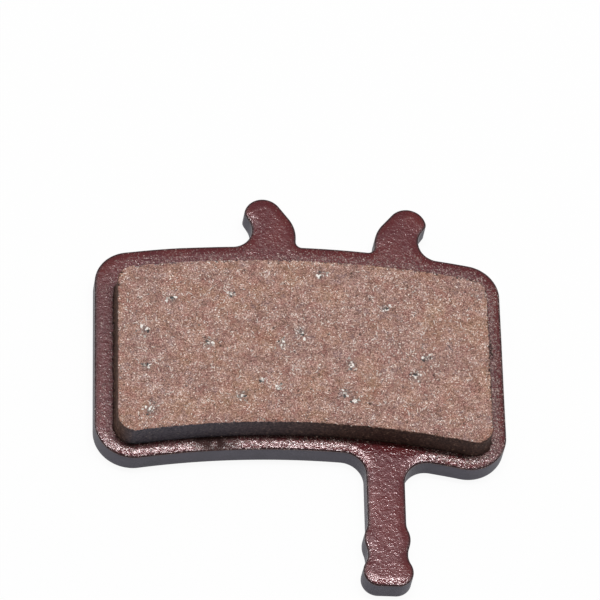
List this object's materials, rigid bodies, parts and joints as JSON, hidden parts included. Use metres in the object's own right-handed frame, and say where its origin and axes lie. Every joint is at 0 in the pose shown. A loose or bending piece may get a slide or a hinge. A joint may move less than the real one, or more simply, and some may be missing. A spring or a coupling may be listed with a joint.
{
  "type": "bicycle disc brake pad",
  "caption": "Disc brake pad: an arched, painted steel backing plate with hooked ears and a scalloped pull tab, carrying a bonded block of friction compound that grips a bicycle's brake rotor.",
  "frame": {"origin": "middle of the backing plate's back face, at half its width and half its radial height", "axes": "+Z out of the lining towards the rotor, +Y radially outwards towards the ears, +X across the plate towards the side with the pull tab"},
  "size_m": [0.032, 0.0339, 0.004],
  "materials": {
    "painted_steel": "satin",
    "friction_compound": "matte"
  },
  "bodies": {
    "root": {"backing_plate": "painted_steel", "friction_lining": "friction_compound"}
  },
  "joints": []
}
